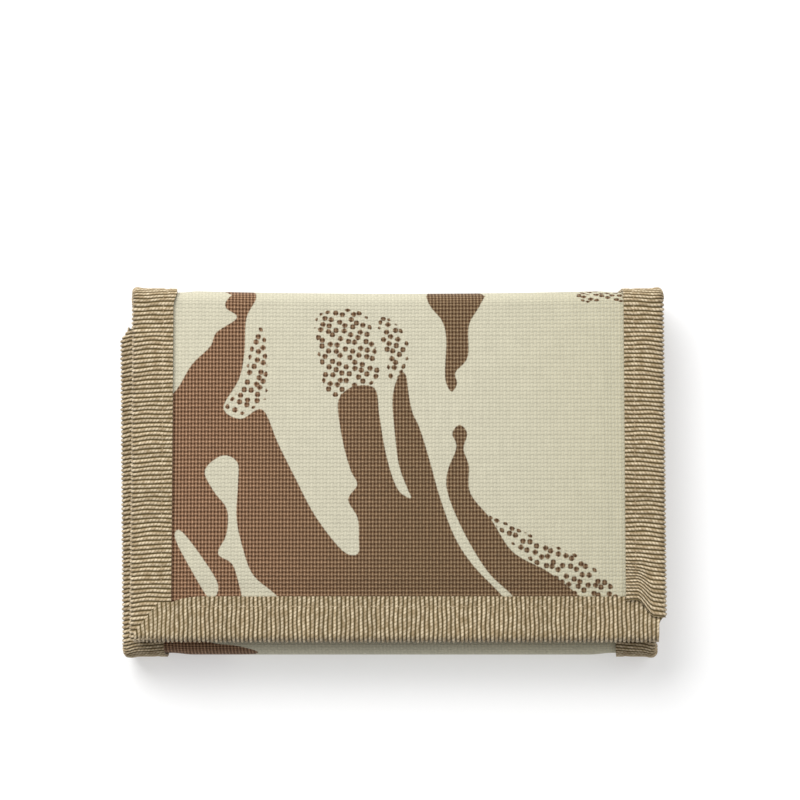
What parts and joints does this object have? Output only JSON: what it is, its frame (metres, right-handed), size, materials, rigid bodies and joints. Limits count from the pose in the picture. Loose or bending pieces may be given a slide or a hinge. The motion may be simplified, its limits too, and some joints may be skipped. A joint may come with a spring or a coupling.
{
  "type": "trifold wallet",
  "caption": "Roll-fold textile wallet, closed, with a bound camouflage cover, hook-and-loop flap, note pocket, card slots, card window and a zipped coin pocket.",
  "frame": {"origin": "centre of the closed wallet's box, on the plane that it lies on", "axes": "+X to the right across the strip, +Y towards the top fold, +Z from the back panel to the flap"},
  "size_m": [0.13, 0.088, 0.0155],
  "materials": {
    "camouflage_cloth": "heavy coated polyester weave printed in sand and brown",
    "binding_tape": "ribbed tan grosgrain",
    "lining_cloth": "plain tan nylon",
    "hook_and_loop": "tan hook and loop pile",
    "clear_vinyl": "clear soft sheet",
    "zip_tape": "herringbone polyester",
    "zip_nylon": "satin nylon coil",
    "zip_metal": "antique bronze enamel"
  },
  "bodies": {
    "back": {"cover_back": "camouflage_cloth", "lining_back": "lining_cloth", "left_tape_back": "binding_tape", "right_tape_back": "binding_tape", "card_slot_rear": "lining_cloth", "card_slot_middle": "lining_cloth", "card_slot_front": "lining_cloth"},
    "top_spine": {"cover_top_fold": "camouflage_cloth", "lining_top_fold": "lining_cloth", "left_tape_top_fold": "binding_tape", "right_tape_top_fold": "binding_tape"},
    "flap": {"cover_flap": "camouflage_cloth", "lining_flap": "lining_cloth", "left_tape_flap": "binding_tape", "right_tape_flap": "binding_tape", "flap_edge_tape": "binding_tape", "hook_patch": "hook_and_loop"},
    "bottom_spine": {"cover_bottom_fold": "camouflage_cloth", "lining_bottom_fold": "lining_cloth", "left_tape_bottom_fold": "binding_tape", "right_tape_bottom_fold": "binding_tape"},
    "inner": {"cover_inner": "camouflage_cloth", "lining_inner": "lining_cloth", "left_tape_inner": "binding_tape", "right_tape_inner": "binding_tape", "inner_edge_tape": "binding_tape", "loop_patch": "hook_and_loop", "coin_bag": "lining_cloth", "id_window_frame": "lining_cloth", "id_window_pane": "clear_vinyl", "zip_tape_upper": "zip_tape", "zip_tape_lower": "zip_tape", "zip_row_upper": "zip_nylon", "zip_row_lower": "zip_nylon", "zip_stop_open_end": "zip_metal", "zip_stop_closed_end": "zip_metal"},
    "slider": {"zip_slider": "zip_metal"},
    "puller": {"zip_puller": "zip_metal"}
  },
  "joints": [
    {"name": "top_fold", "type": "hinge", "parent": "back", "child": "top_spine", "pos_m": [0, 0.04375, 0.00025], "axis": [-1, 0, 0], "range_deg": [0, 90]},
    {"name": "flap_fold", "type": "hinge", "parent": "top_spine", "child": "flap", "pos_m": [0, 0.04375, 0.01525], "axis": [-1, 0, 0], "range_deg": [0, 90]},
    {"name": "bottom_fold", "type": "hinge", "parent": "back", "child": "bottom_spine", "pos_m": [0, -0.04375, 0.00025], "axis": [1, 0, 0], "range_deg": [0, 20]},
    {"name": "inner_fold", "type": "hinge", "parent": "bottom_spine", "child": "inner", "pos_m": [0, -0.04375, 0.00965], "axis": [1, 0, 0], "range_deg": [0, 20]},
    {"name": "zip_slide", "type": "slide", "parent": "inner", "child": "slider", "axis": [-1, 0, 0], "range_m": [0, 0.082]},
    {"name": "puller_hinge", "type": "hinge", "parent": "slider", "child": "puller", "pos_m": [0.0396, 0.012, 0.01045], "axis": [0, 1, 0], "range_deg": [0, 7]}
  ],
  "couplings": [
    {"joint": "flap_fold", "follows": "top_fold", "ratio": 1},
    {"joint": "bottom_fold", "follows": "top_fold", "ratio": 0.22},
    {"joint": "inner_fold", "follows": "top_fold", "ratio": 0.22}
  ]
}
